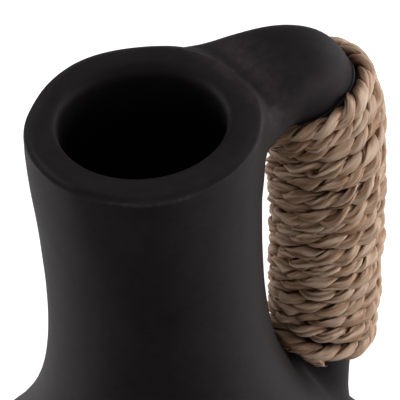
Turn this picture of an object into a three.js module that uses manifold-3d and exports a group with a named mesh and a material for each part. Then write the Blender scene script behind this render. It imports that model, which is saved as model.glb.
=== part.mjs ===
// A black terracotta vase with one thick handle, bound in plant-fibre cord.
// Millimetres, +Z up, origin at the centre of the foot, handle towards +X.

import * as THREE from 'three';
import { mergeVertices } from 'three/addons/utils/BufferGeometryUtils.js';
import Module from 'manifold-3d';

// Vase body: heights from the table, and depths from the plane of the mouth
const rimHeight = 380;
const lipRadius = 45;
const lipWidth = 13;
const lipFall = 1.5;
const lipRound = 1.6;
const mouthRound = 1.2;
const neckSwell = 0.3;
const neckSwellDepth = 9;
const waisting = 1.6;
const waistDepth = 70.5;
const shoulderRadius = 91.8;
const shoulderDepth = 215.4;
const shoulderAngle = THREE.MathUtils.degToRad(34.5);
const bellyRadius = 124;
const bellyHeight = 100;
const footRadius = 74;
const footRound = 3;
const footRingWidth = 14;
const footRecess = 2;
const wall = 9;
const floorThickness = 11;
const floorCorner = 26;

// Shares of a rise at which an outline's curve takes the direction of its end
const bellyEase = 0.45;
const shoulderEase = 0.38;
const flareEase = 0.45;
const waistEase = 0.46;
const neckEase = 0.6;
const swellEase = 0.45;

// Handle: the root in the neck, the arch over the rim, the grip and the foot on the shoulder
const rootBurial = 25;
const rootDepth = 12;
const rootThickness = 5;
const rootWidth = 30;
const crestOut = 5;
const crestDepth = 4.5;
const crestLead = 14;
const bendEase = 0.6;
const armThickness = 39;
const armWidth = 40;
const gripDepth = 56;
const gripTopThickness = 36.5;
const gripEndThickness = 28.5;
const gripInset = 11.8;
const fingerGap = 14;
const footThickness = 29.5;
const footBurial = 12;
const rootFlare = 20;
const rootFlareLength = 18;
const rootBlend = 15;
const footFlare = 9;
const footFlareLength = 34;

// Binding: the backing tape and the cord wound over it
const cordDiameter = 6.7;
const turnGap = 0.5;
const bareArmLength = 33;
const startLean = 5;
const fanTurns = 9;
const outerSlack = 0.7;
const startAngle = THREE.MathUtils.degToRad(250);
const endAngle = THREE.MathUtils.degToRad(128);
const shoulderClearance = 0.45;
const tapeThickness = 0.6;
const tapeMargin = 3.8;

// Clearances between pieces that touch on the real object
const jointGap = 0.3;
const tapeGap = 0.3;
const cordGap = 0.3;

// Fineness
const bodySegments = 56;
const curveSteps = 7;
const armSides = 24;
const armStep = 6;
const lineSamples = 600;
const loopSteps = 24;
const cordSides = 6;

// Sizes that follow from those above
const mouthRadius = lipRadius - lipWidth;
const neckTopRadius = lipRadius + neckSwell;
const waistRadius = neckTopRadius - waisting;
const cordPitch = cordDiameter + turnGap;
const bindingThickness = tapeGap + tapeThickness + cordGap + cordDiameter;
const gripReach = waistRadius + fingerGap + bindingThickness + gripTopThickness / 2;

const wasm = await Module();
wasm.setup();

const vec2 = (x, y) => new THREE.Vector2(x, y);

// Outer wall of the body, as an outline of radius and height from the foot to the lip
function outerWall() {
  const waistHeight = rimHeight - waistDepth;
  const shoulderHeight = rimHeight - shoulderDepth;
  const neckTopHeight = rimHeight - neckSwellDepth;
  const shoulderRise = shoulderHeight - bellyHeight;
  const flareRise = waistHeight - shoulderHeight;
  const neckRise = neckTopHeight - waistHeight;
  const shoulderPoint = vec2(shoulderRadius, shoulderHeight);
  const downSlope = vec2(Math.sin(shoulderAngle), -Math.cos(shoulderAngle));
  const alongSlope = (reach) => shoulderPoint.clone().addScaledVector(downSlope, reach);
  const bellyFall = bellyHeight - footRound;
  const bellyDepth = bellyFall / Math.sqrt(1 - (footRadius / bellyRadius) ** 2);

  const foot = new THREE.EllipseCurve(
    footRadius - footRound, footRound, footRound, footRound, -Math.PI / 2, 0);
  const lowerBelly = new THREE.EllipseCurve(
    0, bellyHeight, bellyRadius, bellyDepth, -Math.asin(bellyFall / bellyDepth), 0);
  const shoulder = new THREE.CubicBezierCurve(
    vec2(bellyRadius, bellyHeight),
    vec2(bellyRadius, bellyHeight + shoulderRise * bellyEase),
    alongSlope(shoulderRise * shoulderEase),
    shoulderPoint);
  const flare = new THREE.CubicBezierCurve(
    shoulderPoint,
    alongSlope(-flareRise * flareEase),
    vec2(waistRadius, waistHeight - flareRise * waistEase),
    vec2(waistRadius, waistHeight));
  const neck = new THREE.CubicBezierCurve(
    vec2(waistRadius, waistHeight),
    vec2(waistRadius, waistHeight + neckRise * neckEase),
    vec2(neckTopRadius, neckTopHeight - neckRise * swellEase),
    vec2(neckTopRadius, neckTopHeight));
  return joined([
    foot.getPoints(3),
    lowerBelly.getPoints(curveSteps),
    shoulder.getPoints(curveSteps - 2),
    flare.getPoints(curveSteps + 1),
    neck.getPoints(curveSteps - 4),
  ]);
}

// Rounded outer edge of the lip, its slightly conical band and the edge of the mouth
function lip() {
  const edgeHeight = rimHeight - lipFall;
  const bandSlope = lipFall / lipWidth;
  const edge = new THREE.QuadraticBezierCurve(
    vec2(lipRadius, edgeHeight - lipRound),
    vec2(lipRadius, edgeHeight),
    vec2(lipRadius - lipRound, edgeHeight + lipRound * bandSlope));
  const mouth = new THREE.QuadraticBezierCurve(
    vec2(mouthRadius + mouthRound, rimHeight),
    vec2(mouthRadius, rimHeight),
    vec2(mouthRadius, rimHeight - mouthRound));
  return joined([edge.getPoints(3), mouth.getPoints(2)]);
}

// Inner wall, from the waist down to the floor: the outer wall drawn in by the wall's thickness
function innerWall() {
  const side = offsetOutline(outer, -wall).filter((point) =>
    point.y > floorThickness + wall && point.y <= rimHeight - waistDepth);
  side.reverse();
  const last = side[side.length - 1];
  const corner = new THREE.QuadraticBezierCurve(
    last,
    vec2(last.x - floorCorner / 2, floorThickness),
    vec2(last.x - floorCorner, floorThickness));
  return joined([side, corner.getPoints(3), [vec2(0, floorThickness)]]);
}

// An outline moved along its own normals
function offsetOutline(points, distance) {
  return points.map((point, index) => {
    const before = points[Math.max(index - 1, 0)];
    const after = points[Math.min(index + 1, points.length - 1)];
    const way = after.clone().sub(before).normalize();
    return vec2(point.x + way.y * distance, point.y - way.x * distance);
  });
}

// Lists of points end to end, without repeats
function joined(lists) {
  const points = [];
  for (const point of lists.flat()) {
    const last = points[points.length - 1];
    if (!last || last.distanceTo(point) > 0.05) points.push(point);
  }
  return points;
}

const outer = outerWall();

// Distance from a point in the plane of the handle to the outer wall
function distanceToWall(point) {
  const nearest = new THREE.Vector3();
  const spans = outer.slice(1).map((end, index) => new THREE.Line3(
    new THREE.Vector3(outer[index].x, 0, outer[index].y),
    new THREE.Vector3(end.x, 0, end.y)));
  return Math.min(...spans.map((span) =>
    span.closestPointToPoint(point, true, nearest).distanceTo(point)));
}

// The height at which the shoulder, followed down from the neck, first reaches a radius
function heightOfRadius(radius) {
  for (let index = outer.length - 1; index > 0; index -= 1) {
    const [low, high] = [outer[index - 1], outer[index]];
    if (low.x >= radius && high.x < radius) {
      return THREE.MathUtils.mapLinear(radius, high.x, low.x, high.y, low.y);
    }
  }
  return bellyHeight;
}

// A closed mesh with shared corners and no triangle of zero area
function welded(geometry) {
  geometry.deleteAttribute('normal');
  geometry.deleteAttribute('uv');
  const merged = mergeVertices(geometry, 1e-4);
  const corners = merged.getIndex().array;
  const kept = [];
  for (let first = 0; first < corners.length; first += 3) {
    const [a, b, c] = corners.slice(first, first + 3);
    if (a !== b && b !== c && c !== a) kept.push(a, b, c);
  }
  merged.setIndex(kept);
  return merged;
}

function revolved(outline) {
  const geometry = new THREE.LatheGeometry(outline, bodySegments);
  geometry.rotateX(Math.PI / 2);
  return welded(geometry);
}

function solidOf(geometry) {
  const mesh = new wasm.Mesh({
    numProp: 3,
    vertProperties: new Float32Array(geometry.getAttribute('position').array),
    triVerts: new Uint32Array(geometry.getIndex().array),
  });
  return new wasm.Manifold(mesh);
}

function geometryOf(solid) {
  const mesh = solid.getMesh();
  const geometry = new THREE.BufferGeometry();
  geometry.setAttribute('position', new THREE.BufferAttribute(new Float32Array(mesh.vertProperties), 3));
  geometry.setIndex(Array.from(mesh.triVerts));
  return geometry;
}

// Rings with one count of points, skinned into a capped tube, or end to end into a sleeve
function skinned(rings, isSleeve = false) {
  const count = rings[0].length;
  const index = [];
  const spans = isSleeve ? rings.length : rings.length - 1;
  for (let row = 0; row < spans; row += 1) {
    const next = (row + 1) % rings.length;
    for (let side = 0; side < count; side += 1) {
      const beside = (side + 1) % count;
      const [a, b] = [row * count + side, row * count + beside];
      const [c, d] = [next * count + side, next * count + beside];
      index.push(a, b, d, a, d, c);
    }
  }
  const lastRow = (rings.length - 1) * count;
  for (let side = 1; side < count - 1 && !isSleeve; side += 1) {
    index.push(0, side + 1, side);
    index.push(lastRow, lastRow + side, lastRow + side + 1);
  }
  const positions = rings.flat().flatMap((point) => point.toArray());
  const geometry = new THREE.BufferGeometry();
  geometry.setAttribute('position', new THREE.Float32BufferAttribute(positions, 3));
  geometry.setIndex(index);
  return geometry;
}

// The handle's centre line, in the plane of the axis and +X
function handleLine() {
  const point = (reach, height) => new THREE.Vector3(reach, 0, height);
  const rootReach = lipRadius - rootBurial;
  const crestReach = lipRadius + crestOut;
  const rootHeight = rimHeight - rootDepth;
  const crestHeight = rimHeight - crestDepth;
  const gripHeight = rimHeight - gripDepth;
  const endReach = gripReach - gripInset;
  const endHeight = heightOfRadius(endReach + footThickness / 2 + footBurial);
  const gripFall = gripHeight - endHeight;

  const arch = new THREE.CubicBezierCurve3(
    point(rootReach, rootHeight),
    point(lipRadius - rootBurial / 2, (rootHeight + crestHeight) / 2),
    point(crestReach - crestLead, crestHeight),
    point(crestReach, crestHeight));
  const bend = new THREE.CubicBezierCurve3(
    point(crestReach, crestHeight),
    point(THREE.MathUtils.lerp(crestReach, gripReach, bendEase), crestHeight),
    point(gripReach, THREE.MathUtils.lerp(gripHeight, crestHeight, bendEase)),
    point(gripReach, gripHeight));
  const grip = new THREE.CubicBezierCurve3(
    point(gripReach, gripHeight),
    point(gripReach, gripHeight - gripFall / 3),
    point(endReach + gripInset / 2, endHeight + gripFall / 3),
    point(endReach, endHeight));
  const line = new THREE.CurvePath();
  line.add(arch);
  line.add(bend);
  line.add(grip);
  return { line, crestAt: arch.getLength() };
}

const { line, crestAt } = handleLine();
const lineLength = line.getLength();
const linePoints = line.getSpacedPoints(lineSamples);

// Place, direction, outward normal and sideways normal at a distance along the centre line
function frameAt(distance) {
  const exact = THREE.MathUtils.clamp(distance / lineLength, 0, 1) * lineSamples;
  const index = Math.min(Math.floor(exact), lineSamples - 1);
  const place = linePoints[index].clone().lerp(linePoints[index + 1], exact - index);
  const before = linePoints[Math.max(index - 3, 0)];
  const after = linePoints[Math.min(index + 4, lineSamples)];
  const way = after.clone().sub(before).normalize();
  const out = new THREE.Vector3(-way.z, 0, way.x);
  const side = new THREE.Vector3().crossVectors(way, out);
  return { place, way, out, side };
}

const windingStart = crestAt + bareArmLength;
const neckExitAt = nearestDistance((place) => Math.abs(place.x - neckTopRadius), 0, crestAt);

function nearestDistance(measure, from, to) {
  let best = from;
  for (let step = 0; step <= lineSamples; step += 1) {
    const distance = THREE.MathUtils.lerp(from, to, step / lineSamples);
    if (measure(frameAt(distance).place) < measure(frameAt(best).place)) best = distance;
  }
  return best;
}

// Thickness and width of the clay along the handle
function clayAt(distance) {
  const stations = [
    [-1, rootThickness, rootWidth],
    [neckExitAt, rootThickness, rootWidth],
    [neckExitAt + rootBlend, armThickness, armWidth],
    [windingStart, gripTopThickness, gripTopThickness],
    [lineLength - footFlareLength, gripEndThickness, gripEndThickness],
    [lineLength + 1, footThickness, footThickness],
  ];
  const next = stations.findIndex((station) => station[0] >= distance);
  const [from, to] = [stations[next - 1], stations[next]];
  const isGrip = from[0] === windingStart;
  const part = isGrip
    ? THREE.MathUtils.inverseLerp(from[0], to[0], distance)
    : THREE.MathUtils.smoothstep(distance, from[0], to[0]);
  return {
    thickness: THREE.MathUtils.lerp(from[1], to[1], part),
    width: THREE.MathUtils.lerp(from[2], to[2], part),
  };
}

// How far the root and the foot of the handle spread towards the body
function flareAt(distance) {
  const { smoothstep } = THREE.MathUtils;
  const footContact = lineLength - footBurial;
  const nearRoot = 1 - smoothstep(distance, neckExitAt, neckExitAt + rootFlareLength);
  const nearFoot = smoothstep(distance, footContact - footFlareLength, footContact);
  return nearRoot * rootFlare + nearFoot * footFlare;
}

// A ring round the handle's clay, let out evenly, and spread towards the body by its flare. Each
// angle has its own distance along the centre line, so that a ring can lean.
function ringAt(distanceAt, letOut) {
  return Array.from({ length: armSides }, (unused, index) => {
    const angle = 2 * Math.PI * index / armSides;
    const distance = distanceAt(angle);
    const { place, out, side } = frameAt(distance);
    const { thickness, width } = clayAt(distance);
    const flare = flareAt(distance);
    const halfThickness = (thickness + flare) / 2 + letOut;
    const halfWidth = (width + flare) / 2 + letOut;
    return place.clone()
      .addScaledVector(out, halfThickness * Math.cos(angle) - flare / 2)
      .addScaledVector(side, halfWidth * Math.sin(angle));
  });
}

// Distance from the centre line to the middle of the cord
function windingRadius(distance) {
  return clayAt(distance).thickness / 2 + bindingThickness - cordDiameter / 2;
}

// Angle through which the centre line has turned since the first turn of the cord
function bendAt(distance) {
  const start = frameAt(windingStart).way;
  const here = frameAt(distance).way;
  return Math.atan2(start.z, start.x) - Math.atan2(here.z, here.x);
}

const wholeBend = bendAt(rimLevelDistance());

// Distance at which the grip has left the bend and runs straight down
function rimLevelDistance() {
  return nearestDistance((place) => Math.abs(place.z - rimHeight + waistDepth), crestAt, lineLength);
}

// Where a turn crosses the centre line, at one angle round it. The first turn leans up the inside of
// the bend. The turns lie side by side there and fan out evenly over the outside.
function windingPlace(turn, angle) {
  const outerShare = (1 + Math.cos(angle)) / 2;
  const wholeFan = 2 * wholeBend * windingRadius(windingStart) - startLean;
  const slack = outerSlack * Math.max(turn - fanTurns, 0);
  const fan = wholeFan * THREE.MathUtils.clamp(turn / fanTurns, 0, 1) + slack;
  const run = turn * cordPitch + outerShare * fan - (1 - outerShare) * startLean;
  let distance = windingStart + run;
  for (let pass = 0; pass < 20; pass += 1) {
    distance = windingStart + run - windingRadius(distance) * Math.cos(angle) * bendAt(distance);
  }
  return distance;
}

const angleAt = (turn) => startAngle - 2 * Math.PI * turn;

// The cord stops where one more turn would meet the shoulder, which comes closest on its inner side
function countTurns() {
  const partTurn = (startAngle - endAngle) / (2 * Math.PI);
  const room = cordDiameter / 2 + shoulderClearance;
  let turns = partTurn;
  let clear = true;
  while (clear) {
    const inward = turns + 1 - (Math.PI - endAngle) / (2 * Math.PI);
    const distance = windingPlace(inward, Math.PI);
    const { place, out } = frameAt(distance);
    const middle = place.addScaledVector(out, -windingRadius(distance));
    clear = distance < lineLength && distanceToWall(middle) > room;
    if (clear) turns += 1;
  }
  return turns;
}

const turns = countTurns();

// The route of the cord's middle, with both ends straight for one diameter
function windingRoute() {
  const steps = Math.round(turns * loopSteps);
  const route = [];
  for (let step = 0; step <= steps; step += 1) {
    const turn = turns * step / steps;
    const angle = angleAt(turn);
    const distance = windingPlace(turn, angle);
    const { place, out, side } = frameAt(distance);
    const outward = out.clone().multiplyScalar(Math.cos(angle)).addScaledVector(side, Math.sin(angle));
    route.push({ point: place.addScaledVector(outward, windingRadius(distance)), outward });
  }
  const extended = (end, inner) => {
    const way = end.point.clone().sub(inner.point).normalize();
    return { point: end.point.clone().addScaledVector(way, cordDiameter), outward: end.outward };
  };
  const last = route.length - 1;
  return [extended(route[0], route[1]), ...route, extended(route[last], route[last - 1])];
}

// One unbroken tube along the route, with a flat of its section towards the handle
function windingGeometry(route) {
  const rings = route.map(({ point, outward }, index) => {
    const before = route[Math.max(index - 1, 0)].point;
    const after = route[Math.min(index + 1, route.length - 1)].point;
    const way = after.clone().sub(before).normalize();
    const normal = outward.clone().addScaledVector(way, -outward.dot(way)).normalize();
    const across = new THREE.Vector3().crossVectors(way, normal);
    return Array.from({ length: cordSides }, (unused, side) => {
      const angle = 2 * Math.PI * (side + 0.5) / cordSides;
      return point.clone()
        .addScaledVector(normal, cordDiameter / 2 * Math.cos(angle))
        .addScaledVector(across, cordDiameter / 2 * Math.sin(angle));
    });
  });
  return skinned(rings);
}

// Least gap between the surfaces of turns, measured on the route's points
function leastGap(route) {
  let least = Infinity;
  for (let here = 0; here < route.length; here += 1) {
    for (let there = here + loopSteps / 2; there < route.length; there += 1) {
      least = Math.min(least, route[here].point.distanceTo(route[there].point));
    }
  }
  return least - cordDiameter;
}

// Stations along a stretch, evenly spaced and never further apart than the step
function stationsBetween(from, to, step = armStep) {
  const count = Math.ceil((to - from) / step);
  return Array.from({ length: count + 1 }, (unused, index) => THREE.MathUtils.lerp(from, to, index / count));
}

function bodyGeometry() {
  const ringInside = footRadius - footRound - footRingWidth;
  const underside = [vec2(0, footRecess), vec2(ringInside - footRecess, footRecess), vec2(ringInside, 0)];
  return revolved(joined([underside, outer, lip(), innerWall()]));
}

// The handle's loft, cut back to the outside of the body and kept clear of the lip's band
function handleGeometry() {
  const stations = stationsBetween(0, lineLength);
  const loft = solidOf(skinned(stations.map((distance) => ringAt(() => distance, 0))));
  const topHeight = rimHeight + armThickness;
  const cutOutline = [
    vec2(0, 0),
    ...offsetOutline(outer, jointGap),
    vec2(lipRadius + jointGap, rimHeight),
    vec2(lipRadius + jointGap, topHeight),
    vec2(0, topHeight),
  ];
  return geometryOf(loft.subtract(solidOf(revolved(cutOutline))));
}

// The sleeve under the cord leans with its turns, and shows a little beside the first and the last
function tapeGeometry() {
  const shown = (cordDiameter / 2 + tapeMargin) / cordPitch;
  const levels = stationsBetween(1 - shown, turns - 1 + shown, armStep / cordPitch);
  const ringOf = (turn, letOut) => ringAt((angle) => windingPlace(turn, angle), letOut);
  const outside = levels.map((turn) => ringOf(turn, tapeGap + tapeThickness));
  const inside = levels.map((turn) => ringOf(turn, tapeGap));
  return skinned([...outside, ...inside.reverse()], true);
}

function piece(name, geometry, material) {
  const mesh = new THREE.Mesh(geometry, material);
  mesh.name = name;
  return mesh;
}

const route = windingRoute();
const gap = leastGap(route);
console.log(`cord: ${turns.toFixed(2)} turns, least gap between turns ${gap.toFixed(2)} mm`);

const blackClay = new THREE.MeshStandardMaterial({ color: 0x2a2728, roughness: 0.72, metalness: 0 });
const darkTape = new THREE.MeshStandardMaterial({ color: 0x17181d, roughness: 0.6, metalness: 0 });
const paleCord = new THREE.MeshStandardMaterial({ color: 0x9c8268, roughness: 0.85, metalness: 0 });

const vase = new THREE.Group();
vase.add(piece('vase_body', bodyGeometry(), blackClay));
vase.add(piece('handle', handleGeometry(), blackClay));
vase.add(piece('backing_tape', tapeGeometry(), darkTape));
vase.add(piece('cord_winding', windingGeometry(route), paleCord));

export default vase;
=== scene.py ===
import math

import bpy
import numpy as np
from mathutils import Matrix, Vector


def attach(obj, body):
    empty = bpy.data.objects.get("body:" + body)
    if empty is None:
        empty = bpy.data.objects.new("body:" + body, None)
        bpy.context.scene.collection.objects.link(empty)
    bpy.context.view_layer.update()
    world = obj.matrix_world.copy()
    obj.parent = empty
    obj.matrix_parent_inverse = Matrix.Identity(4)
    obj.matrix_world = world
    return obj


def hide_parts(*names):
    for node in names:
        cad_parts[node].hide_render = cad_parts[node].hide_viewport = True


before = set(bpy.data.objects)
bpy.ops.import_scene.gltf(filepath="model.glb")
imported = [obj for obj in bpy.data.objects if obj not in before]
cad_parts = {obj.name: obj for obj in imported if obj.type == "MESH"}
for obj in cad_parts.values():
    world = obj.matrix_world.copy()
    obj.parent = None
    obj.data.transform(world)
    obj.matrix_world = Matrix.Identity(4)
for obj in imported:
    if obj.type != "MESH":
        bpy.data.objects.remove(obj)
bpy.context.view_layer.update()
millimetre = 0.001
bpy.context.scene.view_settings.view_transform = "Standard"
print("frame loaded:", ", ".join(sorted(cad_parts)))


# camera, fitted to the lip, the neck and the grip in the photograph

cameraSettings = {
    "azimuth": -29.0,
    "elevation": 42.8,
    "roll": 3.6,
    "distance": 0.827875,          # metres from the middle of the rim, along the view
    "offRight": 0.0200124,         # how far the rim's middle lies from the view's axis
    "offUp": -0.0313103,
    "aimHeight": 0.380,
    "lens": 198.0,
    "sensor": 36.0,
}


def makeCamera(settings):
    azimuth = math.radians(settings["azimuth"])
    elevation = math.radians(settings["elevation"])
    roll = math.radians(settings["roll"])
    right = Vector((math.cos(azimuth), math.sin(azimuth), 0))
    back = Vector((
        math.sin(azimuth) * math.cos(elevation),
        -math.cos(azimuth) * math.cos(elevation),
        math.sin(elevation),
    ))
    up = back.cross(right)
    place = (
        Vector((0, 0, settings["aimHeight"]))
        + right * settings["offRight"]
        + up * settings["offUp"]
        + back * settings["distance"]
    )
    xAxis = right * math.cos(roll) - up * math.sin(roll)
    yAxis = right * math.sin(roll) + up * math.cos(roll)
    turned = Matrix((xAxis, yAxis, back)).transposed().to_4x4()
    data = bpy.data.cameras.new("camera")
    data.lens = settings["lens"]
    data.sensor_width = settings["sensor"]
    data.clip_start = 0.01
    data.clip_end = 50
    camera = bpy.data.objects.new("camera", data)
    camera.matrix_world = Matrix.Translation(place) @ turned
    bpy.context.scene.collection.objects.link(camera)
    bpy.context.scene.camera = camera
    return right, back


viewRight, viewBack = makeCamera(cameraSettings)
towardsCamera = Vector((viewBack.x, viewBack.y, 0)).normalized()
print("camera set")


# nodes of a material or of the world: an input takes a value, or another node's socket

class Shader:
    def __init__(self, tree):
        self.nodes, self.links = tree.nodes, tree.links

    def feed(self, node, inputs):
        for name, value in inputs.items():
            if isinstance(value, bpy.types.NodeSocket):
                self.links.new(value, node.inputs[name])
            else:
                node.inputs[name].default_value = value

    def add(self, kind, inputs=None, **settings):
        node = self.nodes.new("ShaderNode" + kind)
        for name, value in settings.items():
            setattr(node, name, value)
        self.feed(node, inputs or {})
        return node

    def math(self, operation, first, second):
        return self.add("Math", {0: first, 1: second}, operation=operation).outputs[0]

    def vectorMath(self, operation, inputs, output="Vector"):
        return self.add("VectorMath", inputs, operation=operation).outputs[output]

    def noise(self, vector, scale, detail, roughness=0.5, output="Fac"):
        inputs = {"Vector": vector, "Scale": scale, "Detail": detail, "Roughness": roughness}
        return self.add("TexNoise", inputs).outputs[output]

    def ranged(self, source, low, high, start=0.0, end=1.0):
        inputs = {"Value": source, "From Min": start, "From Max": end, "To Min": low, "To Max": high}
        return self.add("MapRange", inputs).outputs["Result"]

    def ramp(self, source, stops):
        node = self.add("ValToRGB", {"Fac": source})
        elements = node.color_ramp.elements
        while len(elements) < len(stops):
            elements.new(0.5)
        for element, (position, colour) in zip(elements, stops):
            element.position = position
            element.color = (*colour, 1)
        return node.outputs["Color"]

    def multiplied(self, colour, other, share):
        inputs = {0: share, 6: colour, 7: other}
        return self.add("Mix", inputs, data_type="RGBA", blend_type="MULTIPLY").outputs[2]

    def bump(self, height, strength, distance, under=None):
        inputs = {"Height": height, "Strength": strength, "Distance": distance}
        if under is not None:
            inputs["Normal"] = under
        return self.add("Bump", inputs).outputs["Normal"]


def newMaterial(name):
    material = bpy.data.materials.new(name)
    material.use_nodes = True
    shader = Shader(material.node_tree)
    return material, shader, shader.nodes["Principled BSDF"]


def grey(value):
    return (value, value, value)


# studio: pale floor, white surroundings, lamps all round, and black cards in front

studio = {
    "floorRadius": 6.0,
    "floorGrey": 0.42,
    "floorGlow": 0.9,
    "floorShine": 0.5,             # how white the floor is where the clay reflects it
    "worldGrey": 0.18,
    "cardGrey": 0.02,
    "cards": [
        # name; foot towards the camera, and up; half width; reach towards the camera, and up
        ("cardTable", (0.16, 0.003), 0.55, (1.4, 0.0)),
        ("cardWall", (1.6, 0.0), 0.9, (0.0, 2.2)),
    ],
    "lampAim": 0.30,               # height that the lamps point at
    "lamps": [
        # name; place along view right, up from the aim, towards the camera; size; watts
        ("lampLeft", (-1.5, 0.15, 0.25), (1.0, 0.7), 5.3),
        ("lampBackLeft", (-1.4, 0.15, -0.7), (0.7, 0.7), 12.5),
        ("lampRight", (1.5, 0.15, 0.12), (1.0, 0.7), 12.9),
        ("lampBackRight", (1.25, 0.40, -1.1), (0.9, 0.9), 9.0),
        ("lampTop", (0.0, 1.75, -0.3), (1.0, 1.0), 5.0),
        ("lampFront", (0.0, 1.45, 1.3), (1.0, 1.0), 2.0),
        ("lampFrontLow", (0.0, 0.35, 1.5), (0.9, 0.6), 4.0),
    ],
}


def whiteForEye(shader, shine=0.0):
    # one where the camera looks at it, straight or through glass, and nought for light
    path = shader.add("LightPath").outputs
    seen = shader.math("MAXIMUM", path["Is Camera Ray"], path["Is Transmission Ray"])
    if not shine:
        return seen
    return shader.math("MAXIMUM", seen, shader.math("MULTIPLY", path["Is Glossy Ray"], shine))


def flatObject(name, corners, material):
    mesh = bpy.data.meshes.new(name)
    mesh.from_pydata(corners, [], [list(range(len(corners)))])
    mesh.materials.append(material)
    made = bpy.data.objects.new(name, mesh)
    bpy.context.scene.collection.objects.link(made)
    return made


def makeFloor(settings):
    material, shader, surface = newMaterial("paleFloor")
    shader.feed(surface, {"Base Color": (*grey(settings["floorGrey"]), 1), "Roughness": 0.9})
    glow = shader.add("Emission", {"Color": (1, 1, 1, 1), "Strength": settings["floorGlow"]})
    summed = shader.add("AddShader", {0: surface.outputs[0], 1: glow.outputs[0]})
    mixed = shader.add("MixShader", {
        0: whiteForEye(shader, settings["floorShine"]), 1: surface.outputs[0], 2: summed.outputs[0]})
    shader.feed(shader.nodes["Material Output"], {"Surface": mixed.outputs[0]})
    steps, radius = 96, settings["floorRadius"]
    floor = flatObject("floor", [
        (radius * math.cos(2 * math.pi * i / steps), radius * math.sin(2 * math.pi * i / steps), 0)
        for i in range(steps)
    ], material)


def makeWorld(settings):
    world = bpy.data.worlds.new("studio")
    world.use_nodes = True
    bpy.context.scene.world = world
    shader = Shader(world.node_tree)
    light = shader.nodes["Background"]
    shader.feed(light, {"Color": (1, 1, 1, 1), "Strength": settings["worldGrey"]})
    seen = shader.add("Background", {"Color": (1, 1, 1, 1), "Strength": 1.0})
    mixed = shader.add("MixShader", {0: whiteForEye(shader), 1: light.outputs[0], 2: seen.outputs[0]})
    shader.feed(shader.nodes["World Output"], {"Surface": mixed.outputs[0]})


def makeLamps(settings):
    middle = Vector((0, 0, settings["lampAim"]))
    for name, (along, high, near), (width, height), power in settings["lamps"]:
        data = bpy.data.lights.new(name, "AREA")
        data.shape = "RECTANGLE"
        data.size, data.size_y = width, height
        data.energy = power
        lamp = bpy.data.objects.new(name, data)
        place = middle + viewRight * along + Vector((0, 0, high)) + towardsCamera * near
        lamp.location = place
        lamp.rotation_mode = "QUATERNION"
        lamp.rotation_quaternion = (middle - place).to_track_quat("-Z", "Y")
        bpy.context.scene.collection.objects.link(lamp)


def makeCards(settings):
    # the camera doesn't see them: they keep the front of the pot dark
    material, shader, surface = newMaterial("blackCard")
    shader.feed(surface, {
        "Base Color": (*grey(settings["cardGrey"]), 1), "Roughness": 1.0, "Specular IOR Level": 0.0})
    across = Vector((-towardsCamera.y, towardsCamera.x, 0))
    for name, (near, high), halfWidth, (reachNear, reachUp) in settings["cards"]:
        foot = towardsCamera * near + Vector((0, 0, high))
        half = across * halfWidth
        reach = towardsCamera * reachNear + Vector((0, 0, reachUp))
        card = flatObject(name, [foot - half, foot + half, foot + half + reach, foot - half + reach], material)
        card.visible_camera = False
        card.visible_shadow = False


makeFloor(studio)
makeWorld(studio)
makeLamps(studio)
makeCards(studio)
print("studio set")


# outline of the pot, in millimetres: the same curves as the solids

pot = {
    "rimHeight": 380.0,
    "lipRadius": 45.0,
    "lipWidth": 13.0,
    "lipFall": 1.7,              # the lip rolls down by this to a crisp outer edge
    "lipRoll": 6.5,
    "lipRound": 0.55,
    "mouthBlend": 1.7,           # the mouth's edge is crisp in front
    "mouthFar": 5.5,             # and rounder by this at the back
    "neckTopRadius": 45.3,
    "neckTopDepth": 9.0,
    "waistRadius": 43.7,
    "waistDepth": 70.5,
    "shoulderRadius": 91.8,
    "shoulderDepth": 215.4,
    "shoulderAngle": 34.5,
    "bellyRadius": 124.0,
    "bellyHeight": 100.0,
    "footRadius": 74.0,
    "footRound": 3.0,
    "footRingWidth": 14.0,
    "footRecess": 2.0,
    "wall": 9.0,
    "floorThickness": 11.0,
    "floorCorner": 26.0,
    "overRim": 40,               # how far above the rim the outlines of the tall neck and the inside end
}


def bezier(first, second, third, fourth, steps):
    t = np.linspace(0, 1, steps + 1)[:, None]
    a, b, c, d = (np.array(p, float) for p in (first, second, third, fourth))
    return a * (1 - t) ** 3 + 3 * b * t * (1 - t) ** 2 + 3 * c * t ** 2 * (1 - t) + d * t ** 3


def arc(centre, radii, start, end, steps):
    angle = np.linspace(start, end, steps + 1)
    return np.stack([centre[0] + radii[0] * np.cos(angle), centre[1] + radii[1] * np.sin(angle)], axis=1)


def unit(vectors):
    return vectors / np.maximum(np.linalg.norm(vectors, axis=-1), 1e-9)[..., None]


def stepLengths(points):
    return np.linalg.norm(np.diff(points, axis=0), axis=1)


def runAlong(points):
    return np.concatenate([[0], np.cumsum(stepLengths(points))])


def between(at, run, rows):
    # rows of values, read off at distances along a run
    return np.stack([np.interp(at, run, rows[:, n]) for n in range(rows.shape[1])], axis=-1)


def softened(values, reach, mode="edge"):
    window = np.hanning(2 * reach + 3)[1:-1]
    return np.convolve(np.pad(values, reach, mode=mode), window / window.sum(), "valid")


def chained(parts, step):
    # end to end, then spaced evenly
    points = np.concatenate(parts)
    keep = np.ones(len(points), bool)
    keep[1:] = stepLengths(points) > 1e-6
    points = points[keep]
    run = runAlong(points)
    count = max(2, int(math.ceil(run[-1] / step)))
    return between(np.linspace(0, run[-1], count + 1), run, points)


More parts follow.
